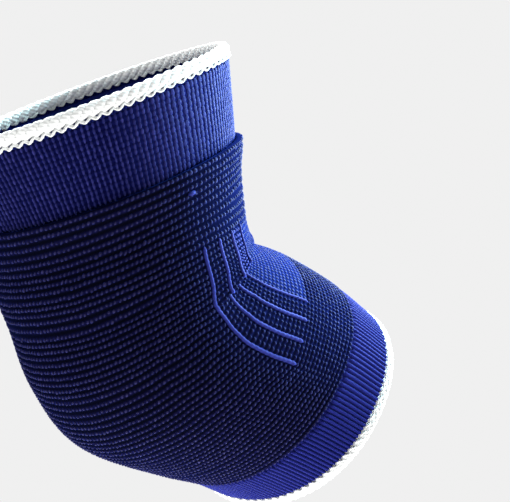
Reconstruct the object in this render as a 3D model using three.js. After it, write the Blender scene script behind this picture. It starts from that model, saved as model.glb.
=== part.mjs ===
// Elbow brace: a knitted support sleeve in the form it has on a bent elbow.
// Millimetres, +Z up. The origin is the middle of the bend. The bend lies in the XZ plane:
// the upper arm leans back towards -X, and the forearm runs out and down towards +X.
// Angles round the sleeve start at the crook of the elbow and grow towards -Y.

import * as THREE from "three";

// ---- Named sizes ----

const UPPER_LENGTH = 66; // bend to the rim of the upper cuff, along the middle
const FORE_LENGTH = 76; // bend to the rim of the lower cuff, along the middle
const UPPER_LEAN = 21; // degrees off the vertical
const FORE_DIP = 24; // degrees below the horizontal
const UPPER_WIDTH = 102; // across the upper rim, in the plane of the bend
const UPPER_DEPTH = 97; // across the upper rim, side to side
const BEND_WIDTH = 87;
const BEND_DEPTH = 79;
const FORE_WIDTH = 88;
const FORE_DEPTH = 86;
const ROUNDNESS = 2.15; // 2 is an ellipse, more is squarer

const BODY_WALL = 2.6;
const CUFF_WALL = 1.9;
const PANEL_WALL = 2.4;
const UPPER_CUFF_INSET = 2.4; // how far the cuff's face lies inside the body's
const LOWER_CUFF_INSET = 0.5;
const PANEL_INSET = 0.1;
const PANEL_ANGLE = 64; // half of the panel's width, in degrees
const SEAM_GAP = 0.3;

const CREASE_DEPTH = 3.2; // the dent below the fold at the crook
const CREASE_ROLL = 0.9; // how far the fold above it stands out
const CREASE_FADE = [80, 118]; // the crease is full up to the first angle and gone at the second
const CREASE_REACH = { above: 0.6, below: 1.3 }; // in sections

const UPPER_HEM_HEIGHT = 5.2;
const LOWER_HEM_HEIGHT = 4.4;
const HEM_THICKNESS = 3.2;
const HEM_TUCK = 0.5; // how far a hem's free edge leans in
const HEM_POINTS = 8;

const PANEL_STEPS = 20; // wall steps across the panel
const BODY_STEPS = 38; // wall steps round the rest of the sleeve

// ---- Sections of the sleeve, from the upper rim to the lower rim ----
// along: share of the limb's length from the bend; shift: share of the bend's width, towards
// the crook; turn: how far the crook side is raised above the horizontal, in degrees;
// wide, deep: shares of the named girth; steps: wall steps down to the next section.

const GIRTHS = {
  upper: { width: UPPER_WIDTH, depth: UPPER_DEPTH },
  bend: { width: BEND_WIDTH, depth: BEND_DEPTH },
  fore: { width: FORE_WIDTH, depth: FORE_DEPTH },
};

const SECTIONS = [
  { name: "upper_rim", limb: "upper", along: 1.0, shift: 0.01, turn: 28, girth: "upper", wide: 1.0, deep: 1.0, steps: 3 },
  { name: "upper_seam", limb: "upper", along: 0.645, shift: 0.015, turn: 27, girth: "upper", wide: 0.9, deep: 0.91, steps: 2 },
  { name: "upper_middle", limb: "upper", along: 0.47, shift: 0.01, turn: 28.5, girth: "bend", wide: 1.005, deep: 1.03, steps: 2 },
  { name: "panel_start", limb: "upper", along: 0.28, shift: -0.01, turn: 25, girth: "bend", wide: 0.975, deep: 1.0, steps: 2 },
  { name: "above_crook", limb: "upper", along: 0.15, shift: -0.005, turn: 29.5, girth: "bend", wide: 0.97, deep: 0.99, steps: 4 },
  { name: "crook", limb: "upper", along: 0.0, shift: 0.0, turn: 42.5, girth: "bend", wide: 1.0, deep: 1.0, steps: 4 },
  { name: "below_crook", limb: "fore", along: 0.165, shift: -0.065, turn: 54.5, girth: "bend", wide: 1.01, deep: 1.035, steps: 3 },
  { name: "panel_end", limb: "fore", along: 0.45, shift: -0.03, turn: 63, girth: "fore", wide: 1.0, deep: 0.985, steps: 2 },
  { name: "lower_seam", limb: "fore", along: 0.745, shift: 0.0, turn: 57.5, girth: "fore", wide: 1.0, deep: 1.0, steps: 3 },
  { name: "lower_rim", limb: "fore", along: 1.0, shift: 0.0, turn: 57, girth: "fore", wide: 0.975, deep: 1.02, steps: 0 },
];

const place = (name) => SECTIONS.findIndex((section) => section.name === name);
const radians = THREE.MathUtils.degToRad;

// The two limbs: the way each runs out from the bend, and the way across it to the crook.
const lean = radians(UPPER_LEAN);
const dip = radians(FORE_DIP);
const LIMBS = {
  upper: {
    length: UPPER_LENGTH,
    out: new THREE.Vector3(-Math.sin(lean), 0, Math.cos(lean)),
    across: new THREE.Vector3(Math.cos(lean), 0, Math.sin(lean)),
  },
  fore: {
    length: FORE_LENGTH,
    out: new THREE.Vector3(Math.cos(dip), 0, -Math.sin(dip)),
    across: new THREE.Vector3(Math.sin(dip), 0, Math.cos(dip)),
  },
};

// Each section as five numbers that can be blended: its middle's x and z, its turn, and half
// of its width and depth.
const MEASURES = SECTIONS.map((section) => {
  const limb = LIMBS[section.limb];
  const girth = GIRTHS[section.girth];
  const middle = limb.out
    .clone()
    .multiplyScalar(section.along * limb.length)
    .addScaledVector(limb.across, section.shift * BEND_WIDTH);
  return [middle.x, middle.z, section.turn, (section.wide * girth.width) / 2, (section.deep * girth.depth) / 2];
});

// A Catmull-Rom blend of the sections at place t, where 0 is the upper rim.
function blended(t) {
  const last = MEASURES.length - 1;
  const from = Math.min(Math.floor(t), last - 1);
  const part = t - from;
  const beyond = (near, far) => near.map((value, n) => 2 * value - far[n]);
  const p1 = MEASURES[from];
  const p2 = MEASURES[from + 1];
  const p0 = from > 0 ? MEASURES[from - 1] : beyond(p1, p2);
  const p3 = from + 2 <= last ? MEASURES[from + 2] : beyond(p2, p1);
  return p1.map((start, n) => {
    const slopeIn = (p2[n] - p0[n]) / 2;
    const slopeOut = (p3[n] - start) / 2;
    const rise = p2[n] - start;
    const square = 3 * rise - 2 * slopeIn - slopeOut;
    const cube = slopeIn + slopeOut - 2 * rise;
    return start + part * (slopeIn + part * (square + part * cube));
  });
}

const eased = (share) => THREE.MathUtils.smoothstep(share, 0, 1);

// How far the wall is pushed in at the crease, negative where its fold rolls out.
function creaseAt(t, angle) {
  const away = Math.abs(THREE.MathUtils.euclideanModulo(angle + 180, 360) - 180);
  const fade = 1 - eased((away - CREASE_FADE[0]) / (CREASE_FADE[1] - CREASE_FADE[0]));
  const past = t - place("crook");
  if (past < 0) {
    return -CREASE_ROLL * fade * eased(1 + past / CREASE_REACH.above);
  }
  return CREASE_DEPTH * fade * (1 - eased(past / CREASE_REACH.below));
}

// A point of the sleeve. lift is the way out from the body's face, and slide the way up
// the sleeve from the section's plane.
function wallPoint({ t, slide = 0 }, angle, lift) {
  const [x, z, turn, halfWidth, halfDepth] = blended(t);
  const out = lift - creaseAt(t, angle);
  const curve = (value) => Math.sign(value) * Math.abs(value) ** (2 / ROUNDNESS);
  const toCrook = curve(Math.cos(radians(angle))) * (halfWidth + out);
  const toSide = curve(Math.sin(radians(angle))) * (halfDepth + out);
  const raised = radians(turn);
  return new THREE.Vector3(
    x + toCrook * Math.cos(raised) - slide * Math.sin(raised),
    -toSide,
    z + toCrook * Math.sin(raised) + slide * Math.cos(raised),
  );
}

// ---- Closed solids ----

function meshOf(name, points, quads, look) {
  const positions = points.flatMap((point) => point.toArray());
  const triangles = quads.flatMap(([a, b, c, d]) => [a, b, c, a, c, d]);
  const geometry = new THREE.BufferGeometry();
  geometry.setAttribute("position", new THREE.Float32BufferAttribute(positions, 3));
  geometry.setIndex(triangles);
  geometry.computeVertexNormals();
  const mesh = new THREE.Mesh(geometry, look);
  mesh.name = name;
  return mesh;
}

// A cloth wall over a grid of rows and angles. leftOut says which cells have no cloth, and
// every free edge is closed from the outer face to the inner one.
function clothWall(name, look, { rows, angles, ring, outer, wall, leftOut = () => false }) {
  const columns = ring ? angles.length : angles.length - 1;
  const points = [outer, outer - wall].flatMap((lift) =>
    rows.flatMap((row) => angles.map((angle) => wallPoint(row, angle, lift))),
  );
  const inside = rows.length * angles.length;
  const at = (i, j) => i * angles.length + (j % angles.length);
  const kept = (i, j) => {
    const column = ring ? (j + columns) % columns : j;
    return i >= 0 && i < rows.length - 1 && column >= 0 && column < columns && !leftOut(i, column);
  };
  const quads = [];
  for (let i = 0; i < rows.length - 1; i++) {
    for (let j = 0; j < columns; j++) {
      if (!kept(i, j)) continue;
      const corners = [at(i, j), at(i, j + 1), at(i + 1, j + 1), at(i + 1, j)];
      quads.push(corners);
      quads.push(corners.map((corner) => corner + inside).reverse());
      const sides = [kept(i - 1, j), kept(i, j + 1), kept(i + 1, j), kept(i, j - 1)];
      sides.forEach((neighbour, side) => {
        if (neighbour) return;
        const first = corners[side];
        const second = corners[(side + 1) % corners.length];
        quads.push([second, first, first + inside, second + inside]);
      });
    }
  }
  return meshOf(name, points, quads, look);
}

// A rolled edge: a rounded band swept round the rim at place t, standing on it on the side
// that up gives (1 above, -1 below).
function rolledEdge(name, look, { t, up, height, inset, angles }) {
  const corner = Math.cos(Math.PI / HEM_POINTS);
  const points = angles.flatMap((angle) =>
    Array.from({ length: HEM_POINTS }, (_, n) => {
      const way = (2 * Math.PI * (n + 0.5)) / HEM_POINTS;
      const share = (1 + Math.sin(way) / corner) / 2;
      const middle = -inset - CUFF_WALL / 2 - HEM_TUCK * share;
      const lift = middle + ((HEM_THICKNESS / 2) * Math.cos(way)) / corner;
      return wallPoint({ t, slide: up * (height * share + SEAM_GAP / 2) }, angle, lift);
    }),
  );
  const at = (j, n) => (j % angles.length) * HEM_POINTS + (n % HEM_POINTS);
  const quads = angles.flatMap((_, j) =>
    Array.from({ length: HEM_POINTS }, (_point, n) => {
      const corners = [at(j, n), at(j, n + 1), at(j + 1, n + 1), at(j + 1, n)];
      return up > 0 ? corners : corners.reverse();
    }),
  );
  return meshOf(name, points, quads, look);
}

// ---- Rows and angles of the pieces ----

// Rows from one section to another, the first and last drawn in from the seams by half a gap.
function rowsBetween(first, last) {
  const rows = [];
  for (let n = place(first); n < place(last); n++) {
    const { steps } = SECTIONS[n];
    for (let step = 0; step < steps; step++) rows.push({ t: n + step / steps });
  }
  rows.push({ t: place(last) });
  rows[0].slide = -SEAM_GAP / 2;
  rows[rows.length - 1].slide = SEAM_GAP / 2;
  return rows;
}

const spread = (from, to, steps) => Array.from({ length: steps + 1 }, (_, n) => from + ((to - from) * n) / steps);

const halfGap = THREE.MathUtils.radToDeg(SEAM_GAP / 2 / (BEND_WIDTH / 2));
const panelAngles = spread(PANEL_ANGLE - halfGap, halfGap - PANEL_ANGLE, PANEL_STEPS).reverse();
const windowAngles = spread(-PANEL_ANGLE - halfGap, PANEL_ANGLE + halfGap, PANEL_STEPS);
const sideAngles = spread(PANEL_ANGLE + halfGap, 360 - PANEL_ANGLE - halfGap, BODY_STEPS);
const roundAngles = [...windowAngles, ...sideAngles.slice(1, -1)];

// The body's rows: the panel's window starts and ends half a gap outside the panel.
const bodyRows = [
  ...rowsBetween("upper_seam", "panel_start"),
  ...rowsBetween("panel_start", "panel_end").slice(1, -1),
  ...rowsBetween("panel_end", "lower_seam"),
];
const windowTop = bodyRows.findIndex((row) => row.t === place("panel_start"));
const windowEnd = bodyRows.findIndex((row) => row.t === place("panel_end"));
const inWindow = (i, j) => i >= windowTop && i < windowEnd && j < PANEL_STEPS;

// ---- Looks ----

const knit = (color, roughness = 0.85) => new THREE.MeshStandardMaterial({ color, roughness, metalness: 0 });
const cuffLook = knit(0x2b3488);
const bodyLook = knit(0x15163a);
const panelLook = knit(0x3c52b8);
const hemLook = knit(0xf2f2f0, 0.9);

// ---- The sleeve ----

const upperArm = new THREE.Group();
upperArm.name = "upper_arm_end";
upperArm.add(
  rolledEdge("upper_hem", hemLook, { t: place("upper_rim"), up: 1, height: UPPER_HEM_HEIGHT, inset: UPPER_CUFF_INSET, angles: roundAngles }),
  clothWall("upper_cuff", cuffLook, {
    rows: rowsBetween("upper_rim", "upper_seam"),
    angles: roundAngles,
    ring: true,
    outer: -UPPER_CUFF_INSET,
    wall: CUFF_WALL,
  }),
);

const elbow = new THREE.Group();
elbow.name = "elbow";
elbow.add(
  clothWall("sleeve_body", bodyLook, {
    rows: bodyRows,
    angles: roundAngles,
    ring: true,
    outer: 0,
    wall: BODY_WALL,
    leftOut: inWindow,
  }),
  clothWall("crook_panel", panelLook, {
    rows: rowsBetween("panel_start", "panel_end"),
    angles: panelAngles,
    ring: false,
    outer: -PANEL_INSET,
    wall: PANEL_WALL,
  }),
);

const forearm = new THREE.Group();
forearm.name = "forearm_end";
forearm.add(
  clothWall("lower_cuff", cuffLook, {
    rows: rowsBetween("lower_seam", "lower_rim"),
    angles: roundAngles,
    ring: true,
    outer: -LOWER_CUFF_INSET,
    wall: CUFF_WALL,
  }),
  rolledEdge("lower_hem", hemLook, { t: place("lower_rim"), up: -1, height: LOWER_HEM_HEIGHT, inset: LOWER_CUFF_INSET, angles: roundAngles }),
);

const sleeve = new THREE.Group();
sleeve.name = "elbow_brace";
sleeve.add(upperArm, elbow, forearm);

export default sleeve;
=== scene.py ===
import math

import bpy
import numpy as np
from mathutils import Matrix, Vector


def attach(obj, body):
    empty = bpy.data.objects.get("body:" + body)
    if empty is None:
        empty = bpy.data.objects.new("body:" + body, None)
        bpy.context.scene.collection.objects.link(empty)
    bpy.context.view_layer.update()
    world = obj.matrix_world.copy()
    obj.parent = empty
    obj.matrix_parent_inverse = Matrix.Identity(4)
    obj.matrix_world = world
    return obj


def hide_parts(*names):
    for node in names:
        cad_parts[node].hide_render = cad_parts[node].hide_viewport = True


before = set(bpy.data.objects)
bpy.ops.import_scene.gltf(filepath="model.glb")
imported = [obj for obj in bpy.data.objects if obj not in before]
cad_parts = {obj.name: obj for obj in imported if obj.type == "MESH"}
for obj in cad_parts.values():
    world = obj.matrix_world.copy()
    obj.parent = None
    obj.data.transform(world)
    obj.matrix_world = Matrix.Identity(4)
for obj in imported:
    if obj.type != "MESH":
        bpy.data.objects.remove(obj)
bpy.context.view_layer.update()        # bodies, nodes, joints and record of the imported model

# %% [markdown]
# # A knitted elbow brace, worn and bent
# The brace is one knitted tube: a ribbed cuff at each end, a spotted body, a
# plain blue panel over the crook of the elbow, and a white corded hem at each
# rim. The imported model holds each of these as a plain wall. Here every wall is
# knitted again, stitch by stitch, on the same curved surface.

# %% [markdown]
# ## The worn shape
# An elbow brace is knitted straight and the arm bends it. Its middle line runs
# down the upper arm, turns at the elbow and leaves along the forearm. A row of
# the table gives one cut across the tube: how far along its limb it lies, how
# far it is shifted towards the crook, its turn in degrees, and its half width
# and half depth in millimetres. A smooth curve through the rows gives every
# cut between them, as a loft would, but as a function that stitches can use.

# %% The cuts across the tube
UPPER_LENGTH, FORE_LENGTH = 66, 76
UPPER_LEAN, FORE_DIP = math.radians(21), math.radians(24)
UPPER_WIDTH, UPPER_DEPTH = 102, 97
BEND_WIDTH, BEND_DEPTH = 87, 79
FORE_WIDTH, FORE_DEPTH = 88, 86
ROUNDNESS = 2.15        # 2 is an oval, and more is squarer
LIMBS = {  # length, then the directions out along the limb and across it to the crook, in x and z
    "upper": (
        UPPER_LENGTH,
        (-math.sin(UPPER_LEAN), math.cos(UPPER_LEAN)),
        (math.cos(UPPER_LEAN), math.sin(UPPER_LEAN)),
    ),
    "fore": (
        FORE_LENGTH,
        (math.cos(FORE_DIP), -math.sin(FORE_DIP)),
        (math.sin(FORE_DIP), math.cos(FORE_DIP)),
    ),
}
GIRTHS = {
    "upper": (UPPER_WIDTH, UPPER_DEPTH),
    "bend": (BEND_WIDTH, BEND_DEPTH),
    "fore": (FORE_WIDTH, FORE_DEPTH),
}
CUTS = [  # name, limb, along, shift, turn, girth, wide, deep
    ("upper_rim", "upper", 1.0, 0.01, 28, "upper", 1.0, 1.0),
    ("upper_seam", "upper", 0.645, 0.015, 27, "upper", 0.9, 0.91),
    ("upper_middle", "upper", 0.47, 0.01, 28.5, "bend", 1.005, 1.03),
    ("panel_start", "upper", 0.28, -0.01, 25, "bend", 0.975, 1.0),
    ("above_crook", "upper", 0.15, -0.005, 29.5, "bend", 0.97, 0.99),
    ("crook", "upper", 0.0, 0.0, 42.5, "bend", 1.0, 1.0),
    ("below_crook", "fore", 0.165, -0.065, 54.5, "bend", 1.01, 1.035),
    ("panel_end", "fore", 0.45, -0.03, 63, "fore", 1.0, 0.985),
    ("lower_seam", "fore", 0.745, 0.0, 57.5, "fore", 1.0, 1.0),
    ("lower_rim", "fore", 1.0, 0.0, 57, "fore", 0.975, 1.02),
]


def cut_numbers(name, limb, along, shift, turn, girth, wide, deep):
    """Middle x and z, turn, half width and half depth of one cut."""
    length, out, across = LIMBS[limb]
    width, depth = GIRTHS[girth]
    return (
        out[0] * along * length + across[0] * shift * BEND_WIDTH,
        out[1] * along * length + across[1] * shift * BEND_WIDTH,
        math.radians(turn), wide * width / 2, deep * depth / 2,
    )


CUT_TABLE = np.array([cut_numbers(*row) for row in CUTS])
LAST = len(CUTS) - 1
print(len(CUTS), "cuts, from the upper rim to the lower rim")

# %% Any point of the tube's surface
CREASE_DEPTH, CREASE_ROLL = 3.2, 0.9
CREASE_AT = 5           # the place along the tube where the skin fold of the crook lies
CREASE_ENDS = 98        # the angle at which it has faded out
CREASE_FADE = 28        # over so many degrees
ROLL_REACH, FOLD_REACH = 0.6, 1.3   # how far they reach along the tube, before the fold and past it


def smooth(x):
    x = np.clip(x, 0, 1)
    return x * x * (3 - 2 * x)


def cut_at(place):
    """The five numbers at a place from 0 to 9, on a smooth curve through the rows."""
    place = np.clip(place, 0, LAST)
    low = np.minimum(place.astype(int), LAST - 1)
    part = (place - low)[..., None]
    padded = np.vstack([2 * CUT_TABLE[0] - CUT_TABLE[1], CUT_TABLE, 2 * CUT_TABLE[-1] - CUT_TABLE[-2]])
    before, start, end, after = (padded[low + k] for k in range(4))
    slope_in, slope_out, rise = (end - before) / 2, (after - start) / 2, end - start
    square, cube = 3 * rise - 2 * slope_in - slope_out, slope_in + slope_out - 2 * rise
    return start + part * (slope_in + part * (square + part * cube))


def crease(place, degrees):
    """How deep the skin fold of the crook presses the cloth in. Just before it the cloth rolls out."""
    away = np.abs((degrees + 180) % 360 - 180)
    fade = 1 - smooth((away - CREASE_ENDS + CREASE_FADE) / CREASE_FADE)
    past = place - CREASE_AT
    roll = -CREASE_ROLL * fade * smooth(1 + past / ROLL_REACH)
    fold = CREASE_DEPTH * fade * (1 - smooth(past / FOLD_REACH))
    return np.where(past < 0, roll, fold)


def squarer(value):
    """A sine or cosine, bent so that the cut is a little squarer than an oval."""
    return np.sign(value) * np.abs(value) ** (2 / ROUNDNESS)


def tube_point(place, degrees, lift, slide=0.0):
    """A point lifted off the tube, in metres. 0 degrees is the crook, and 90 is the near side."""
    x, z, turn, half_width, half_depth = np.moveaxis(cut_at(place), -1, 0)
    out = lift - crease(place, degrees)
    angle = np.radians(degrees)
    to_crook = squarer(np.cos(angle)) * (half_width + out)
    to_side = squarer(np.sin(angle)) * (half_depth + out)
    point = (
        x + to_crook * np.cos(turn) - slide * np.sin(turn),
        -to_side,
        z + to_crook * np.sin(turn) + slide * np.cos(turn),
    )
    return np.stack(np.broadcast_arrays(*point), -1) * 0.001


print("half width at the crook, mm:", round(float(cut_at(np.array([float(CREASE_AT)]))[0, 3]), 1))

# %% [markdown]
# ## Wales and courses
# A knitter counts columns of stitches, called wales, and rows, called courses.
# The tube has 164 wales round and 81 courses along, counted off the photo.
# Every stitch below is placed by these two counts, so a column stays a column
# from hem to hem and rows pack together in the crook, as in real cloth.

# %% The counts
WALES, HALF = 164, 82
WIDE_PITCH = 2.327      # degrees from wale to wale over the stretched crook side
WIDE_WALES = 36
NARROW_PITCH = (180 - WIDE_PITCH * WIDE_WALES) / (HALF - WIDE_WALES)
COURSES = 81
BODY_FROM, BODY_TO = 14, 67         # the courses of the body, between the cuffs
PANEL_EDGE = 27.5                   # the wale where the crook panel ends, on both sides
PANEL_FROM, PANEL_TO = 25, 54
PACKING_WALES = (40, 46, 56, 68)    # by the panel, at the side, behind, and at the elbow
PACKING = np.array([  # place along the tube, then the course there at each of these wales
    (0, 0, 0, 0, 0), (1, 14, 14, 14, 14),
    (2, 19.4, 19.3, 19.2, 19.1), (3, 25, 24.8, 24.2, 23.6),
    (4, 29.6, 29.6, 29.2, 28.7), (5, 35.8, 37, 37.9, 38.1),
    (6, 43.2, 45.3, 47.1, 47.9), (7, 54, 56.6, 58.4, 59.5),
    (8, 67, 67, 67, 67), (9, 81, 81, 81, 81),
])
BESIDE_AT, MIDDLE_AT = 74.5, 92     # the angles beside the panel and in the middle of the side
DRIFT = np.array([  # place, then how many degrees the wales drift there at each of these angles
    (2.4, 0, 0), (3.0, -2.0, -1.7), (4.4, -2.6, -0.9), (4.85, -0.8, 1.0), (5.3, -0.9, -0.5),
    (5.8, -3.0, -1.2), (6.25, -2.1, -0.8), (6.6, -1.1, 0), (7.0, -0.8, 0.2), (7.8, 0, 0),
])
print(WALES, "wales round and", COURSES, "courses along")

# %% From stitch counts to places
fine = np.linspace(0, LAST, 721)
rows, ring = fine[:, None], np.arange(0, 360, 10.0)[None, :]
grid = tube_point(rows, ring, crease(rows, ring))    # with the crease smoothed out
steps = np.linalg.norm(np.diff(grid, axis=0), axis=-1).mean(1)
travelled = np.concatenate([[0], np.cumsum(steps)])
travel_at = np.interp(PACKING[:, 0], fine, travelled)


def from_crook(wale):
    """Wales counted from the middle of the crook, minus on the far side."""
    return (np.asarray(wale, float) + HALF) % WALES - HALF


def place_of(course, wale):
    """The place along the tube of a course. Courses lie closer at the elbow than by the panel."""
    columns = np.stack([
        np.interp(np.interp(course, counts, travel_at), travelled, fine) for counts in PACKING[:, 1:].T
    ])
    at = np.interp(np.abs(from_crook(wale)), PACKING_WALES, np.arange(len(PACKING_WALES)))
    low = np.minimum(at.astype(int), len(PACKING_WALES) - 2)
    start, end = (np.take_along_axis(columns, (low + k)[None], 0)[0] for k in (0, 1))
    return start + (end - start) * (at - low)


def degrees_of(wale, place=0.0):
    """The angle of a wale at a place: 0 in the crook, 180 at the elbow, minus on the far side."""
    wale = from_crook(wale)
    count = np.abs(wale)
    narrow = WIDE_PITCH * WIDE_WALES + NARROW_PITCH * (count - WIDE_WALES)
    angle = np.where(count < WIDE_WALES, WIDE_PITCH * count, narrow)
    beside, middle = (np.interp(place, DRIFT[:, 0], DRIFT[:, k]) for k in (1, 2))
    beside = beside * np.interp(angle, (40, BESIDE_AT, MIDDLE_AT), (0, 1, 0))
    middle = middle * np.interp(angle, (BESIDE_AT, MIDDLE_AT, 130), (0, 1, 0))
    return np.sign(wale) * (angle + beside + middle)


def knit_point(wale, course, lift):
    """The point that two counts give, lifted off the tube."""
    wale, course = np.broadcast_arrays(np.asarray(wale, float), np.asarray(course, float))
    place = place_of(course, wale)
    return tube_point(place, degrees_of(wale, place), lift)


print("length along the middle, mm:", round(travelled[-1] * 1000, 1))


# %% Directions and pitches at a stitch
def share_this_side(here, low, high):
    """The share of the way from low to high that lies on this side of the crease."""
    before = here < CREASE_AT
    start = np.where(before, low, np.maximum(low, CREASE_AT))
    end = np.where(before, np.minimum(high, CREASE_AT), high)
    return np.clip((end - start) / (high - low), 0.3, 1)


def unit(vectors):
    return vectors / np.linalg.norm(vectors, axis=-1, keepdims=True)


def knit_frame(wale, course, lift):
    """Point, directions to the next wale, to the next course and outward, and both pitches."""
    wale, course = np.broadcast_arrays(np.asarray(wale, float), np.asarray(course, float))
    here = place_of(course, wale)
    low, high = np.clip(course - 0.3, 0, COURSES), np.clip(course + 0.3, 0, COURSES)
    folded = np.abs(degrees_of(wale)) < CREASE_ENDS

    def near(other_wale, other_course):
        """A point near this one that stays on its side of the crease."""
        place = place_of(other_course, other_wale)
        above, below = np.minimum(place, CREASE_AT - 0.001), np.maximum(place, CREASE_AT)
        place = np.where(folded, np.where(here < CREASE_AT, above, below), place)
        return tube_point(place, degrees_of(other_wale, place), lift)

    across = near(wale + 0.5, course) - near(wale - 0.5, course)
    along = near(wale, high) - near(wale, low)
    share = np.where(folded, share_this_side(here, place_of(low, wale), place_of(high, wale)), 1)
    wale_pitch = np.linalg.norm(across, axis=-1, keepdims=True)
    course_pitch = np.linalg.norm(along, axis=-1, keepdims=True) / ((high - low) * share)[..., None]
    out = unit(np.cross(across, along))
    along = unit(np.cross(out, across))
    return knit_point(wale, course, lift), across / wale_pitch, along, out, wale_pitch, course_pitch


pitches = [float(pitch[0, 0]) * 1000 for pitch in knit_frame([0.0], [7.5], 0.0)[-2:]]
print("wale and course pitch in the upper cuff, mm:", [round(pitch, 2) for pitch in pitches])

# %% [markdown]
# ## Turning numbers into cloth
# A knitted wall is a closed shell: an outer face, an inner face, and narrow
# walls along every edge. A grid of wales and courses gives both faces, and a
# cell of the grid may be left out, as for the opening that the panel fills.
# A Solidify modifier could thicken one face, but with two grids each face has
# waves of its own.

# %% A mesh from points and faces
def make_mesh(name, points, faces, uv, **marks):
    """A smooth object. uv has a pair for each face corner, and every mark a number for each point."""
    corners = faces.shape[1]
    mesh = bpy.data.meshes.new(name)
    mesh.vertices.add(len(points))
    mesh.vertices.foreach_set("co", points.astype(np.float32).ravel())
    mesh.loops.add(faces.size)
    mesh.loops.foreach_set("vertex_index", faces.astype(np.int32).ravel())
    mesh.polygons.add(len(faces))
    mesh.polygons.foreach_set("loop_start", np.arange(0, faces.size, corners, dtype=np.int32))
    mesh.uv_layers.new(name="knit").data.foreach_set("uv", uv.astype(np.float32).ravel())
    for mark, values in marks.items():
        mesh.attributes.new(mark, "FLOAT", "POINT").data.foreach_set("value", values.astype(np.float32))
    mesh.update(calc_edges=True)
    mesh.shade_smooth()
    piece = bpy.data.objects.new(name, mesh)
    bpy.context.collection.objects.link(piece)
    print(f"{name}: {len(points)} points, {len(faces) * (corners - 2)} triangles")
    return piece


def knit_wall(name, wales, courses, outer, inner, closed=True, kept=None):
    """A closed wall of cloth. outer and inner give the lift in millimetres at each wale and course."""
    next_wale = np.append(wales[1:], wales[0] + WALES) if closed else wales[1:]
    w, c = np.meshgrid(wales, courses)
    points = np.concatenate([knit_point(w, c, face(w, c)).reshape(-1, 3) for face in (outer, inner)])
    behind, columns = w.size, len(wales)
    i, j = np.meshgrid(np.arange(len(courses) - 1), np.arange(len(next_wale)), indexing="ij")
    if kept is None:
        kept = np.ones(i.shape, bool)
    here, below, beside = i * columns, (i + 1) * columns, (j + 1) % columns
    corners = np.stack([here + j, here + beside, below + beside, below + j], -1)
    u = np.stack([wales[j], next_wale[j], next_wale[j], wales[j]], -1) / WALES + 0.5
    v = 1 - np.stack([courses[i], courses[i], courses[i + 1], courses[i + 1]], -1) / COURSES
    uv = np.stack([u, v], -1)
    faces = [corners[kept], corners[kept][:, ::-1] + behind]
    maps = [uv[kept], uv[kept][:, ::-1]]
    framed = np.pad(kept, 1)
    if closed:
        framed[1:-1, 0], framed[1:-1, -1] = kept[:, -1], kept[:, 0]
    beyond = [framed[:-2, 1:-1], framed[1:-1, 2:], framed[2:, 1:-1], framed[1:-1, :-2]]
    for side, other in enumerate(beyond):
        edge = kept & ~other
        start, end = corners[edge][:, side], corners[edge][:, (side + 1) % 4]
        faces.append(np.stack([end, start, start + behind, end + behind], -1))
        a, b = uv[edge][:, side], uv[edge][:, (side + 1) % 4]
        maps.append(np.stack([b, a, a, b], 1))
    used, faces = np.unique(np.concatenate(faces), return_inverse=True)
    return make_mesh(name, points[used], faces.reshape(-1, 4), np.concatenate(maps))


def rounded(distance, radius):
    """How far a rounded edge has fallen at this distance inside it."""
    inside = np.clip(distance, 0, radius)
    return radius - np.sqrt(radius**2 - (radius - inside) ** 2)


# %% [markdown]
# ## The body cloth
# Under the spots the body is a dark, fine ground: navy crests on the courses and
# black valleys between them, darker as painted shade. The wall is 2.6 mm, its
# outer face waves with each course, and the opening for the panel keeps a rounded edge.

# %% Knit the body
OUTER_ARM_CUFF, OUTER_WRIST_CUFF, OUTER_PANEL = -2.4, -0.5, -0.1    # lifts of the outer faces, mm
BODY_WALL, PANEL_WALL, CUFF_WALL = 2.6, 2.4, 1.9                    # thicknesses, mm
GROUND = -0.55          # the middle of the body's ground lies this far under the tube's surface, mm
body_wales = np.concatenate([
    [-PANEL_EDGE], np.arange(-26, 27, 2.0), [PANEL_EDGE],
    np.arange(29, 64, 1.0), np.arange(64, 100, 2.0), np.arange(100, 136, 1.0),
])
body_courses = np.arange(BODY_FROM * 4, BODY_TO * 4 + 1) / 4
body_courses[0] += 0.12     # the seams to the cuffs
body_courses[-1] -= 0.12


def course_wave(course, height):
    """Crests on the half courses and valleys between them."""
    return -height * np.cos(2 * np.pi * course)


def body_outer(wale, course):
    to_rim = 1.8 * np.minimum(course - BODY_FROM, BODY_TO - course)     # in millimetres
    return GROUND + course_wave(course, 0.2) - rounded(to_rim, 0.5)


def body_inner(wale, course):
    return -BODY_WALL + course_wave(course, 0.08)


centre_wale = (body_wales + np.append(body_wales[1:], body_wales[0] + WALES)) / 2
centre_course = (body_courses[1:] + body_courses[:-1]) / 2
panel_wale = np.abs(from_crook(centre_wale)) < PANEL_EDGE
panel_course = (centre_course > PANEL_FROM) & (centre_course < PANEL_TO)
outside = ~(panel_wale[None, :] & panel_course[:, None])
body_cloth = knit_wall("sleeve_body_cloth", body_wales, body_courses, body_outer, body_inner, kept=outside)

# %% [markdown]
# ## One stitch
# Each spot is the top of a loop of blue yarn that stands off the ground. One
# is modelled as a low dome, with its flat side down, and then copied along
# the courses. It has only 34 triangles, because there are thousands of it.

# %% Model a single stitch head
def free_selection():
    if bpy.context.mode != "OBJECT":
        bpy.ops.object.mode_set(mode="OBJECT")
    bpy.ops.object.select_all(action="DESELECT")


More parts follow.
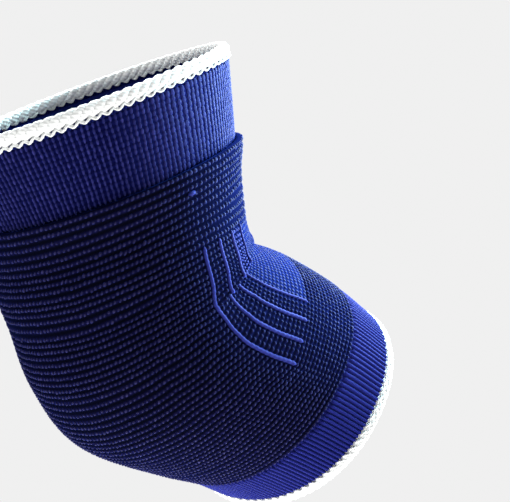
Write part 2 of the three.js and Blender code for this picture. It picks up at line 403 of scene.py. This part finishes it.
def stitch_head(segments, rings):
    """Points and faces of a dome of radius 1, cut flat underneath."""
    free_selection()
    bpy.ops.mesh.primitive_uv_sphere_add(segments=segments, ring_count=rings, radius=1)
    dome = bpy.context.object
    bpy.ops.object.mode_set(mode="EDIT")
    bpy.ops.mesh.select_all(action="SELECT")
    bpy.ops.mesh.bisect(plane_co=(0, 0, -0.001), plane_no=(0, 0, 1), use_fill=True, clear_inner=True)
    bpy.ops.mesh.select_all(action="SELECT")
    bpy.ops.mesh.quads_convert_to_tris()
    bpy.ops.object.mode_set(mode="OBJECT")
    points = np.array([v.co for v in dome.data.vertices])
    faces = np.array([list(p.vertices) for p in dome.data.polygons])
    bpy.data.objects.remove(dome)
    print(f"a stitch head has {len(faces)} triangles")
    return points, faces


small_head = stitch_head(6, 4)

# %% Sow stitches over a cloth
chance = np.random.default_rng(11)
MAP_REACH = 0.3         # how far a stitch's own map reaches from its centre, in wales and courses
PULLED_COURSES = (14, 15, 29, 31)
PULLED_WALES = (52, 44, 42, 29)     # how many wales from the crook are pulled wide at these courses
PULLED_FADE = 14                    # over so many wales it ends


def sow_stitches(name, head, wale, course, lift, width, length, height, slant, uneven=0.08):
    """Copies of a stitch head. width and length are a share of the pitch and a limit in millimetres."""
    shape, faces = head
    count = len(wale)
    jitter = chance.normal(0, 1, (4, count))
    centre, across, along, out, wale_pitch, course_pitch = knit_frame(
        wale + 0.05 * jitter[0], course + 0.05 * jitter[1], lift
    )
    height, wide_share, wide_limit = (np.broadcast_to(value, count)[:, None] for value in (height, *width))
    wide = np.minimum(wide_share * wale_pitch, wide_limit * 0.001) / 2 * (1 + uneven * jitter[2][:, None])
    long = np.minimum(length[0] * course_pitch, length[1] * 0.001) / 2 * (1 + uneven * jitter[3][:, None])
    lean = np.radians(np.broadcast_to(slant, count))[:, None]
    side = across * np.cos(lean) + along * np.sin(lean)
    down = along * np.cos(lean) - across * np.sin(lean)
    points = (
        centre[:, None, :]
        + shape[None, :, 0:1] * (wide * side)[:, None, :]
        + shape[None, :, 1:2] * (long * down)[:, None, :]
        + shape[None, :, 2:3] * (height * 0.001 * out)[:, None, :]
    ).reshape(-1, 3)
    faces = (faces[None] + (np.arange(count) * len(shape))[:, None, None]).reshape(-1, 3)
    u = (wale[:, None] + MAP_REACH * shape[None, :, 0]) / WALES + 0.5
    v = 1 - (course[:, None] + MAP_REACH * shape[None, :, 1]) / COURSES
    uv = np.stack([u, v], -1).reshape(-1, 2)[faces.ravel()]
    shade = np.repeat(chance.uniform(0, 1, count), len(shape))     # one tone for each stitch
    # Low on each head the yarn turns to its foot colour: painted shade where the stitch meets the cloth.
    crown = np.tile(np.clip(shape[:, 2], 0, 1), count)             # 0 at its foot and 1 on top
    return make_mesh(name, points, faces, uv, yarn_shade=shade, crown=crown)


def stretched(wale, course):
    """How far the cloth is pulled wide, from 0 to 1. Stitches spread where it is."""
    reach = np.interp(course, PULLED_COURSES, PULLED_WALES)
    return smooth((reach - np.abs(wale)) / PULLED_FADE)


def stitch_lattice(wales, courses):
    w, c = np.meshgrid(np.asarray(wales, float), np.asarray(courses, float))
    return w.ravel(), c.ravel()


# %% [markdown]
# ## Spots of the body
# Blue stitches stand on every wale and course of the body, except in the
# panel's opening and along its smooth side lines. They are real heads, for a
# bump in the material would lie flat against the light that skims the brace.

# %% Spot the body
STRIPE_WALES = (32, 36, 40)
SEAM_WALE = 28
SPLIT_COURSE = 40       # the spots are two pieces, split here
SPOT_LENGTH = (0.74, 1.4)
wale, course = stitch_lattice(np.arange(-HALF, HALF), np.arange(BODY_FROM, BODY_TO) + 0.5)
beside_panel = (course > PANEL_FROM) & (course < PANEL_TO)
free = ~(beside_panel & ((np.abs(wale) <= SEAM_WALE) | np.isin(np.abs(wale), STRIPE_WALES)))
edging = free & beside_panel & (np.abs(wale) < STRIPE_WALES[0]) & (place_of(course, wale) < CREASE_AT)
free &= ~edging


def sow_spots(name, chosen):
    """The chosen spots, which are broader and straighter where the cloth is pulled wide."""
    spread = stretched(wale[chosen], course[chosen])
    return sow_stitches(
        name, small_head, wale[chosen], course[chosen], GROUND + 0.02,
        width=(0.56 + 0.36 * spread, 0.95 + 1.1 * spread), length=SPOT_LENGTH,
        height=0.42, slant=-44 + 38 * spread, uneven=0.14,
    )


arm_stitches = sow_spots("upper_arm_stitches", free & (course < SPLIT_COURSE))
forearm_stitches = sow_spots("forearm_stitches", free & (course > SPLIT_COURSE))
edging_stitches = sow_stitches(
    "edging_stitches", small_head, wale[edging], course[edging], GROUND - 0.05,
    width=(1.12, 1.7), length=SPOT_LENGTH, height=0.5, slant=-8,
)
slub = sow_stitches(
    "slub", small_head, np.array([41.0]), np.array([17.3]), GROUND + 0.1,
    width=(1.7, 2.8), length=(0.8, 1.4), height=0.8, slant=-6,
)

# %% [markdown]
# ## Crook panel
# The cloth over the crook is finer and plain blue, so that it folds easily.
# Its stitches are lower and sit closer together than those of the body.

# %% Knit the panel
PANEL_GROUND = OUTER_PANEL - 0.33
PANEL_GAP = 0.13        # left free at each side, in wales
panel_wales = np.concatenate([[-PANEL_EDGE + PANEL_GAP], np.arange(-27, 28, 1.0), [PANEL_EDGE - PANEL_GAP]])
panel_courses = np.arange(PANEL_FROM * 4, PANEL_TO * 4 + 1) / 4
panel_courses[0] += 0.15
panel_courses[-1] -= 0.15


def panel_outer(wale, course):
    to_edge = np.minimum(np.minimum(course - PANEL_FROM, PANEL_TO - course), PANEL_EDGE - np.abs(wale))
    return PANEL_GROUND + course_wave(course, 0.08) - rounded(1.6 * to_edge, 0.8)


def panel_inner(wale, course):
    return OUTER_PANEL - PANEL_WALL + course_wave(course, 0.06)


panel_cloth = knit_wall(
    "crook_panel_cloth", panel_wales, panel_courses, panel_outer, panel_inner, closed=False
)
wale, course = stitch_lattice(np.arange(-27, 28), np.arange(PANEL_FROM, PANEL_TO) + 0.5)
off_crease = np.clip((np.abs(place_of(course, wale) - CREASE_AT) - 0.1) / 0.5, 0, 1)
panel_stitches = sow_stitches(
    "crook_panel_stitches", small_head, wale, course, PANEL_GROUND - 0.03,
    width=(0.80, 1.35), length=(0.80, 1.5), height=0.10 + 0.08 * off_crease, slant=-14,
)

# %% [markdown]
# ## Side lines
# Three smooth lines run down each side between the spots, and a fourth hides
# the join of panel and body. Each is a flat chain of long stitches, made by
# sweeping an oval ring along a wale and letting it swell at each course.

# %% Sweep a chain along a path
HALF_MM = 0.0005        # half a millimetre, in metres


def sweep(points, outs, wide, high, sides, closed=False, repeat=1.0):
    """An oval tube along a path. outs point off the cloth, wide and high are half sizes at each point."""
    count = len(points)
    if closed:
        ahead, back = np.roll(points, -1, 0), np.roll(points, 1, 0)
    else:
        ahead, back = np.vstack([points[1:], points[-1:]]), np.vstack([points[:1], points[:-1]])
    run = unit(ahead - back)
    side = unit(np.cross(run, outs))
    up = np.cross(side, run)
    turn = np.arange(sides) * 2 * np.pi / sides
    sideways = np.cos(turn)[None, :, None] * (side * wide[:, None])[:, None]
    upward = np.sin(turn)[None, :, None] * (up * high[:, None])[:, None]
    rings = points[:, None] + sideways + upward
    i, j = np.meshgrid(np.arange(count if closed else count - 1), np.arange(sides), indexing="ij")
    here, there, beside = i * sides, (i + 1) % count * sides, (j + 1) % sides
    faces = np.stack([here + j, here + beside, there + beside, there + j], -1).reshape(-1, 4)
    far = np.stack([i, i, i + 1, i + 1], -1) * repeat
    about = np.stack([j, j + 1, j + 1, j], -1) / sides
    # A yarn that reads this turns to its foot colour under the tube: painted shade where it lies on the
    # cloth.
    crown = np.tile(np.clip(0.3 + np.sin(turn), 0, 1), count)
    return rings.reshape(-1, 3), faces, np.stack([far, about], -1).reshape(-1, 2), crown


def join_sweeps(name, sweeps):
    """One object from several swept yarns."""
    starts = np.cumsum([0] + [len(points) for points, *rest in sweeps])
    points, faces, uv, crown = zip(*sweeps)
    faces = [f + start for f, start in zip(faces, starts)]
    points, faces, uv, crown = (np.concatenate(part) for part in (points, faces, uv, crown))
    return make_mesh(name, points, faces, uv, crown=crown)


# %% Lay the side lines
def chain_line(wale, start, end, lift, width, height, per_course=6, swell=0.16):
    """One side line from course to course, closed by drawing its ends to a point."""
    course = np.linspace(start, end, int((end - start) * per_course) + 1)
    centre, _, _, out, _, _ = knit_frame(wale, course, lift)
    swelling = 1 - swell / 2 + swell / 2 * np.cos(2 * np.pi * (course - 0.5))
    to_end = np.minimum(course - start, end - course) + 0.02
    size = swelling * np.sqrt(np.clip(to_end / 0.6, 0.001, 1))
    return sweep(centre, out, size * width * HALF_MM, size * height * HALF_MM, 8, repeat=1 / per_course)


lines = [
    chain_line(side * stripe, PANEL_FROM - 0.1, PANEL_TO + 0.2, lift=-0.45, width=1.5, height=0.95)
    for stripe in STRIPE_WALES for side in (-1, 1)
]
lines += [
    chain_line(side * (PANEL_EDGE + 0.1), PANEL_FROM - 0.2, PANEL_TO + 0.2, lift=-0.5, width=1.2, height=0.9)
    for side in (-1, 1)
]
side_lines = join_sweeps("side_lines", lines)

# %% [markdown]
# ## Upper cuff
# The cuff that grips the upper arm is a rib: every wale is a ridge of long
# stitches, and between ridges the cloth sinks to a navy groove. The stitches
# are the same kind of head as the spots, but longer than their course, so
# that they run into one another.

# %% Knit the upper cuff
RIB_GROUND = OUTER_ARM_CUFF - 0.62
cuff_wales = np.arange(-HALF, HALF, 1.0)
cuff_courses = np.linspace(0, BODY_FROM, 43)
cuff_courses[0] += 0.05
cuff_courses[-1] -= 0.1


def upper_cuff_outer(wale, course):
    to_rim = 1.4 * np.minimum(course, BODY_FROM - course)       # in millimetres
    return RIB_GROUND - rounded(to_rim, 0.5)


def cuff_inner(outer):
    """The inner face of a cuff, plain and one wall below the outer one."""
    return lambda wale, course: np.full(np.shape(wale), outer - CUFF_WALL)


upper_cuff_cloth = knit_wall(
    "upper_cuff_cloth", cuff_wales, cuff_courses, upper_cuff_outer, cuff_inner(OUTER_ARM_CUFF)
)
wale, course = stitch_lattice(cuff_wales, np.arange(BODY_FROM) + 0.5)
spread = stretched(wale, course)
upper_cuff_ribs = sow_stitches(
    "upper_cuff_ribs", stitch_head(8, 6), wale, course, RIB_GROUND - 0.04,
    width=(0.52 + 0.5 * spread, 0.88 + 1.2 * spread), length=(1.34, 2.8),
    height=0.66 - 0.38 * spread, slant=-6, uneven=0.07,
)

# %% [markdown]
# ## Lower cuff
# The forearm cuff is a tighter rib whose ridges are smooth and unbroken. Here
# the ridges are the wall itself: the outer face rises and falls over seven
# points to a wale, and alternate ribs start one behind the other at the body.

# %% Knit the lower cuff
RIB_POINTS, RIB_HEIGHT = 7, 0.85
rib_wales = np.arange(-HALF * RIB_POINTS, HALF * RIB_POINTS) / RIB_POINTS
rib_courses = np.concatenate([[67.12, 67.3, 67.5, 67.75], np.arange(68, 80.6, 0.5), [80.75, 80.95]])


def lower_cuff_outer(wale, course):
    beside = np.abs((wale + 0.5) % 1 - 0.5)
    rib = np.sqrt(np.clip(1 - (beside / 0.46) ** 2, 0, 1))
    start = BODY_TO + 0.1 + 0.55 * (np.round(wale) % 2)
    grown = np.sqrt(np.clip((course - start) / 0.7, 0, 1))
    pulled = 0.06 * np.cos(2 * np.pi * course)
    rim = 0.5 * rounded((COURSES - course) * 1.5, 0.6)
    return OUTER_WRIST_CUFF - RIB_HEIGHT + rib * grown * (RIB_HEIGHT + pulled) - rim


lower_cuff_cloth = knit_wall(
    "lower_cuff_cloth", rib_wales, rib_courses, lower_cuff_outer, cuff_inner(OUTER_WRIST_CUFF)
)

# %% [markdown]
# ## White hems
# Each rim is bound with a thick white cord of three strands, and a row of
# small loops ties the cord to the first rib of the cuff. A strand turns once
# in six wales, so 164 wales make 27 and a third turns, and one strand that
# goes round three times closes on itself and is the whole cord.

# %% A point on a hem
def hem_point(wale, height, lift, upper):
    """A point off the rim: height away from the cuff, and lift off the surface, in millimetres."""
    place = np.full(np.shape(wale), 0.0 if upper else float(LAST))
    return tube_point(place, degrees_of(wale), lift, height if upper else -height)


def hem_outs(wale, height, lift, upper):
    """Directions off the surface along the rim."""
    return unit(hem_point(wale, height, lift + 1, upper) - hem_point(wale, height, lift, upper))


def hem_cord(upper, height, lift, rise, depth, thick, per_turn=16, sides=8):
    """The three-strand cord, as one closed strand."""
    lead, rounds = 6.0, 3
    count = int(rounds * WALES / lead * per_turn)
    wale = np.arange(count) * rounds * WALES / count
    phase = -2 * np.pi * wale / lead * (1 if upper else -1)
    path = hem_point(wale, height + rise * np.sin(phase), lift + depth * np.cos(phase), upper)
    outs, half = hem_outs(wale, height, lift, upper), np.full(count, thick * HALF_MM)
    points, faces, uv, crown = sweep(path, outs, half, half, sides, closed=True, repeat=1 / per_turn)
    if not upper:
        faces, uv = faces[:, ::-1], uv.reshape(-1, 4, 2)[:, ::-1].reshape(-1, 2)
    return points, faces, uv, crown


def hem_loops(upper, height, lift, swing, thick, offset, per_wave=12, sides=6):
    """A yarn that waves once in two wales along the inner edge of the hem, nearer the cord at the crook."""
    count = HALF * per_wave
    wale = np.arange(count) * WALES / count
    phase = np.pi * (wale + offset)
    uneven = np.sin(wale * 0.153 * np.pi / 2 + 1) * np.sin(wale * 10 * np.pi / WALES)
    closer = 0.5 * smooth((72 - np.abs(from_crook(wale))) / 34) + 0.1 * uneven
    waved = height + closer + swing * (1 + 0.2 * uneven) * np.cos(phase)
    path = hem_point(wale, waved, lift + 0.3 * np.sin(phase), upper)
    outs, half = hem_outs(wale, height, lift, upper), np.full(count, thick * HALF_MM)
    return sweep(path, outs, half, half, sides, closed=True, repeat=1 / per_wave)


def tucked_edge(upper, lift, height=0.75, wide=1.8, thick=1.2):
    """The last course of a cuff, tucked up into the hem, as a flat ring that shows between the loops."""
    wale = np.arange(HALF * 4) / 2.0
    path, outs = hem_point(wale, height, lift, upper), hem_outs(wale, height, lift, upper)
    half_wide, half_thick = (np.full(len(wale), size * HALF_MM) for size in (wide, thick))
    return sweep(path, outs, half_wide, half_thick, 8, closed=True)


# %% Bind both rims
LOOP_OFFSETS = (0.0, 0.3, 0.5, 0.8)     # in wales, of the four looping yarns


def bind_rim(name, upper, outer, cord, swing, thick, places):
    """The cord, the looping yarns, each at a height and lift given in places, and the tucked edge."""
    middle = outer - CUFF_WALL / 2
    height, rise, depth, strand = cord      # all in millimetres
    loops = [
        hem_loops(upper, loop_height, middle + loop_lift, swing, thick, offset)
        for (loop_height, loop_lift), offset in zip(places, LOOP_OFFSETS)
    ]
    return (
        join_sweeps(name + "_hem_cord", [hem_cord(upper, height, middle - 0.1, rise, depth, strand)]),
        join_sweeps(name + "_hem_loops", loops),
        join_sweeps(name + "_tucked_edge", [tucked_edge(upper, middle)]),
    )


upper_hem, upper_loops, upper_tuck = bind_rim(
    "upper", True, OUTER_ARM_CUFF, cord=(3.25, 0.85, 0.6, 2.5), swing=0.52, thick=0.66,
    places=[(0.75, 0.85), (0.95, 0.7), (0.75, -0.85), (0.95, -0.7)],
)
lower_hem, lower_loops, lower_tuck = bind_rim(
    "lower", False, OUTER_WRIST_CUFF, cord=(2.65, 0.7, 0.55, 2.2), swing=0.42, thick=0.85,
    places=[(0.45, 0.75), (0.75, 0.6), (0.45, -0.75), (0.75, -0.6)],
)

# %% [markdown]
# ## Writing shader maths as expressions
# A material is a graph of nodes, and its maths is easier to read as Python.
# This class wraps one output socket, so that a + b or 1 - mask adds a Math
# node, and every other node comes from its one method.

# %% The socket class
class Wire:
    def __init__(self, tree, socket=None):
        self.tree, self.socket = tree, socket

    def node(self, kind, settings=None, sockets=None, output=0):
        made = self.tree.nodes.new("ShaderNode" + kind)
        for name, value in (settings or {}).items():
            setattr(made, name, value)
        for key, value in (sockets or {}).items():
            if isinstance(value, Wire):
                self.tree.links.new(value.socket, made.inputs[key])
            else:
                made.inputs[key].default_value = value
        return Wire(self.tree, made.outputs[output])

    def maths(self, operation, *values):
        return self.node("Math", {"operation": operation}, dict(enumerate(values)))

    def __add__(self, other):
        return self.maths("ADD", self, other)

    def __sub__(self, other):
        return self.maths("SUBTRACT", self, other)

    def __rsub__(self, other):
        return self.maths("SUBTRACT", other, self)

    def __mul__(self, other):
        return self.maths("MULTIPLY", self, other)

    def __pow__(self, other):
        return self.maths("POWER", self, other)

    __radd__, __rmul__ = __add__, __mul__

    def cosine(self):
        return self.maths("COSINE", self)

    def ripple(self):
        """A wave from 0 to 1, with a crest on every whole number."""
        return 0.5 + 0.5 * (self * (2 * math.pi)).cosine()

    def mix(self, dark, light):
        """This wire as the share from one colour to another. A colour is three numbers or a wire."""
        ends = (end if isinstance(end, Wire) else (*end, 1) for end in (dark, light))
        return self.node("Mix", {"data_type": "RGBA"}, dict(zip((0, 6, 7), (self, *ends))), output=2)


def new_material(name, **shader):
    """A material with a Principled shader whose uniform values are set on its own sockets."""
    material = bpy.data.materials.new(name)
    material.use_nodes = True
    body = material.node_tree.nodes["Principled BSDF"]
    for key, value in shader.items():
        body.inputs[key.replace("_", " ")].default_value = value
    return material, Wire(material.node_tree), body


def plug(wire, body, socket):
    body.id_data.links.new(wire.socket, body.inputs[socket])


# %% [markdown]
# ## Yarns
# The yarn is textured nylon: matt, with a soft bright edge where light skims
# its fibres. Each stitch has its own slight shade, kept in an attribute, and
# a very fine noise gives the fibres. The sheen is what turns the far curve of
# the brace from navy to bright blue.

# %% What all yarns share
def nylon(name, roughness, sheen, shine):
    return new_material(
        name, Roughness=roughness, Sheen_Weight=sheen, Sheen_Roughness=0.4,
        Sheen_Tint=(0.04, 0.12, 1, 1), Specular_IOR_Level=shine,
    )


def noise(wire, scale, detail=3.0):
    place = wire.node("TexCoord", output=3)
    return wire.node("TexNoise", None, {"Vector": place, "Scale": scale, "Detail": detail})


def attribute(wire, name):
    return wire.node("Attribute", {"attribute_name": name}, output=2)


def bump(wire, body, strength, distance, height):
    made = wire.node("Bump", None, {"Strength": strength, "Distance": distance, "Height": height})
    plug(made, body, "Normal")


def knit_map(wire):
    """The two numbers of the knit map, which are how far round and how far along."""
    split = wire.node("SeparateXYZ", None, {0: wire.node("UVMap", {"uv_map": "knit"})})
    return split, Wire(wire.tree, split.socket.node.outputs[1])


def wale_on(around):
    return (around - 0.5) * float(WALES)


def course_on(along):
    return (1 - along) * float(COURSES)


def lit_crook_side(wale, reach, fade=16):
    """0 to 1 towards the crook, from so many wales off: the lit side, where the colours it mixes in are
    painted light. The cosine makes both sides alike.
    """
    start, end = (math.cos(far * 2 * math.pi / WALES) for far in (reach, reach - fade))
    about = (wale * (2 * math.pi / WALES)).cosine()
    return wale.node("MapRange", None, dict(enumerate((about, start, end, 0.0, 1.0))))


# %% Yarns of the stitches
def yarn(name, shaded_foot, dark, light, wide):
    """A yarn with painted shade at its foot, a tone from dark to light, and one near wide over the crook
    side, painted light where the light falls.
    """
    material, wire, body = nylon(name, roughness=0.62, sheen=0.3, shine=0.03)
    fibres, cloud = noise(wire, 2600.0), noise(wire, 90.0, 2.0)
    shade = attribute(wire, "yarn_shade")
    around, _ = knit_map(wire)
    tone = shade * 0.5 + shade ** 14 * 0.6 + fibres * 0.5 + cloud * 0.5 - 0.25
    # Over the crook side, where the light falls, the tone turns to wide: painted light.
    pulled = tone.mix([0.7 * part for part in wide], wide)
    colour = lit_crook_side(wale_on(around), 50).mix(tone.mix(dark, light), pulled)
    # Towards its foot a stitch turns to the foot colour: painted shade where it meets the cloth.
    plug(attribute(wire, "crown").mix(shaded_foot, colour), body, "Base Color")
    bump(wire, body, 0.5, 0.0002, fibres)
    return material


# Each yarn's foot colour is painted shade, and its wide colour is the painted light of the lit crook side.
spot_yarn = yarn(
    "spot_yarn", shaded_foot=(0.004, 0.004, 0.022), dark=(0.009, 0.008, 0.033),
    light=(0.022, 0.0195, 0.068), wide=(0.014, 0.019, 0.080),
)
cuff_yarn = yarn(
    "cuff_yarn", shaded_foot=(0.003, 0.004, 0.040), dark=(0.009, 0.010, 0.066),
    light=(0.025, 0.025, 0.130), wide=(0.009, 0.014, 0.115),
)
panel_yarn = yarn(
    "panel_yarn", shaded_foot=(0.0045, 0.008, 0.058), dark=(0.0045, 0.0075, 0.054),
    light=(0.0065, 0.0105, 0.066), wide=(0.0063, 0.0103, 0.064),
)
line_yarn = yarn(
    "line_yarn", shaded_foot=(0.007, 0.009, 0.080), dark=(0.014, 0.016, 0.12),
    light=(0.026, 0.030, 0.20), wide=(0.024, 0.030, 0.20),
)
print("yarns:", ", ".join(made.name for made in (spot_yarn, cuff_yarn, panel_yarn, line_yarn)))

# %% Cloth under the stitches
def ground(name, valley, crest, wide, sheen, reach=44.0):
    """Its colour follows courses and wales, with painted shade in the valleys. Towards the crook, the lit
    side, its blue is painted light.
    """
    material, wire, body = nylon(name, roughness=0.75, sheen=sheen, shine=0.0)
    around, along = knit_map(wire)
    wale = wale_on(around)
    on_course, on_wale = 1 - course_on(along).ripple(), wale.ripple()
    fibres = noise(wire, 2200.0)
    # The valleys between courses and wales are painted darker than the crests: painted shade on the dark
    # ground yarn.
    tone = on_course ** 1.6 * (0.6 + 0.4 * on_wale) * (0.7 + 0.6 * fibres)
    # Towards the crook, the lit side, the colour turns to wide: painted light.
    pulled = (0.6 + 0.4 * tone).mix(valley, wide)
    plug(lit_crook_side(wale, reach).mix(tone.mix(valley, crest), pulled), body, "Base Color")
    bump(wire, body, 0.6, 0.0003, on_course * on_wale + 0.5 * fibres)
    return material


body_ground = ground(
    "body_ground", valley=(0.0013, 0.0015, 0.0045), crest=(0.0055, 0.0055, 0.038),
    wide=(0.005, 0.008, 0.056), sheen=0.06,
)
cuff_ground = ground(
    "cuff_ground", valley=(0.002, 0.0025, 0.026), crest=(0.004, 0.005, 0.050),
    wide=(0.009, 0.014, 0.115), sheen=0.1, reach=54.0,
)
panel_ground = ground(
    "panel_ground", valley=(0.0042, 0.0075, 0.052), crest=(0.0055, 0.0098, 0.067),
    wide=(0.0055, 0.0098, 0.067), sheen=0.2,
)
print("grounds:", ", ".join(made.name for made in (body_ground, cuff_ground, panel_ground)))

# %% Ribs of the lower cuff, lit along their crests
rib_knit, wire, shader = nylon("lower_rib_knit", roughness=0.6, sheen=0.2, shine=0.01)
around, along = knit_map(wire)
wale = wale_on(around)
fibres = noise(wire, 2200.0)
plies = (course_on(along) * 2.0 + wale).ripple()
# The grooves between ribs are painted dark as shade, and less so towards the crook, where the light falls.
narrow = 1 - 0.7 * lit_crook_side(wale, 44)
tone = (1 - narrow * (1 - wale.ripple() ** 0.6)) * (0.6 + 0.5 * fibres + 0.15 * plies)
plug(tone.mix((0.0015, 0.0025, 0.030), (0.0105, 0.0125, 0.120)), shader, "Base Color")
bump(wire, shader, 0.5, 0.0002, fibres + 0.5 * plies)
print("ribs:", rib_knit.name)

# %% White hem yarn
white_yarn, wire, shader = new_material(
    "white_hem_yarn", Roughness=0.7, Sheen_Weight=0.2, Sheen_Roughness=0.5, Specular_IOR_Level=0.3
)
far, about = knit_map(wire)
ply = (far * 9.0 + about * 3.0).ripple()
fibres = noise(wire, 2000.0)
plug((ply * 0.6 + fibres * 0.4).mix((0.56, 0.57, 0.56), (0.84, 0.85, 0.84)), shader, "Base Color")
bump(wire, shader, 0.6, 0.0002, ply + 0.4 * fibres)
print("hems:", white_yarn.name)

# %% [markdown]
# ## Dressing the frame
# Each cloth takes the place of a packed wall and rides on the same body,
# with the stitches and cords that go on it.

# %% Hand the pieces to the frame
dressed = [  # piece, node, slot, material
    (body_cloth, "sleeve_body", "body_knit", body_ground),
    (arm_stitches, None, "body_knit", spot_yarn),
    (forearm_stitches, None, "body_knit", spot_yarn),
    (edging_stitches, None, "body_knit", line_yarn),
    (slub, None, "body_knit", line_yarn),
    (side_lines, None, "panel_knit", line_yarn),
    (panel_cloth, "crook_panel", "panel_knit", panel_ground),
    (panel_stitches, None, "panel_knit", panel_yarn),
    (upper_cuff_cloth, "upper_cuff", "cuff_knit", cuff_ground),
    (upper_cuff_ribs, None, "cuff_knit", cuff_yarn),
    (lower_cuff_cloth, "lower_cuff", "cuff_knit", rib_knit),
    (upper_hem, "upper_hem", "white_hem", white_yarn),
    (upper_loops, None, "white_hem", white_yarn),
    (upper_tuck, None, "cuff_knit", cuff_ground),
    (lower_hem, "lower_hem", "white_hem", white_yarn),
    (lower_loops, None, "white_hem", white_yarn),
    (lower_tuck, None, "white_hem", white_yarn),
]
for piece, node, slot, material in dressed:
    piece.data.materials.append(material)
    if node:
        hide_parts(node)
    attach(piece, "root")

print(len(dressed), "pieces ride on the root")

# %% [markdown]
# ## Stage
# The photo has a pure white ground, and soft light that comes from the right,
# from above and a little from behind, with a weak glow thrown up from below.
# Four large round lamps stand there, a fifth fills the dark side, and a small
# one lies under the elbow. The wide floor and the sky look pale, and light the
# brace by amounts of their own.

# %% Floor and sky
PALE = 0.87                         # how bright floor and sky look
FLOOR_GLOW, SKY_GLOW = 2.1, 0.15    # how bright they are to the brace
FLOOR_LEVEL = -0.25                 # in metres, under the crook

free_selection()
bpy.ops.mesh.primitive_plane_add(size=30, location=(0, 0, FLOOR_LEVEL))
floor = bpy.context.object
floor.name = "floor"
pale, wire, shader = new_material(
    "pale_floor", Roughness=1.0, Specular_IOR_Level=0.0, Base_Color=(0, 0, 0, 1), Emission_Strength=1.0
)
plug(wire.node("LightPath").mix([FLOOR_GLOW] * 3, [PALE] * 3), shader, "Emission Color")
floor.data.materials.append(pale)

sky = bpy.data.worlds.new("pale_sky")
sky.use_nodes = True
background = sky.node_tree.nodes["Background"]
background.inputs["Strength"].default_value = 1.0
plug(Wire(sky.node_tree).node("LightPath").mix([SKY_GLOW] * 3, [PALE] * 3), background, "Color")
bpy.context.scene.world = sky
print("floor at", FLOOR_LEVEL, "m, and floor and sky look", PALE)

# %% Lamps and camera
RIGHT = Vector((0.70098, -0.71318, 0.0))            # the camera's right and up, and back towards it
UP = Vector((-0.06279, -0.06172, 0.99612))
BACK = Vector((-0.71041, -0.69826, -0.08805))
EYE = Vector((-0.21703, -0.26577, -0.01167))
WHITE, COOL = (1, 1, 1), (0.62, 0.92, 1.0)
LAMPS = [  # name, place to the right, up and back, size in metres, power in watts, colour
    ("corner_window", 0.71, 0.71, -0.57, 1.0, 112, COOL),
    ("side_window", 0.90, 0.0, -0.72, 1.0, 37, COOL),
    ("far_window", 0.51, 0.0, -1.03, 1.0, 20, WHITE),
    ("top_window", 0.0, 0.90, -0.72, 1.0, 42, WHITE),
    ("left_fill", -0.81, 0.81, 0.0, 1.0, 9, WHITE),
    ("low_glow", 0.03, -0.20, -0.02, 0.25, 0.75, WHITE),
]
for name, right, up, back, size, power, colour in LAMPS:
    lamp = bpy.data.objects.new(name, bpy.data.lights.new(name, "AREA"))
    lamp.data.shape, lamp.data.size, lamp.data.energy, lamp.data.color = "DISK", size, power, colour
    lamp.location = RIGHT * right + UP * up + BACK * back
    lamp.rotation_euler = (-lamp.location).to_track_quat("-Z", "Y").to_euler()
    bpy.context.collection.objects.link(lamp)

camera = bpy.data.objects.new("camera", bpy.data.cameras.new("camera"))
camera.data.lens, camera.data.sensor_width = 73.6, 36
camera.data.clip_start = 0.01
camera.matrix_world = Matrix.Translation(EYE) @ Matrix((RIGHT, UP, BACK)).transposed().to_4x4()
bpy.context.collection.objects.link(camera)
bpy.context.scene.camera = camera
bpy.context.scene.view_settings.view_transform = "Standard"
print(len(LAMPS), "lamps, and the camera", round(EYE.length * 1000), "mm from the crook")
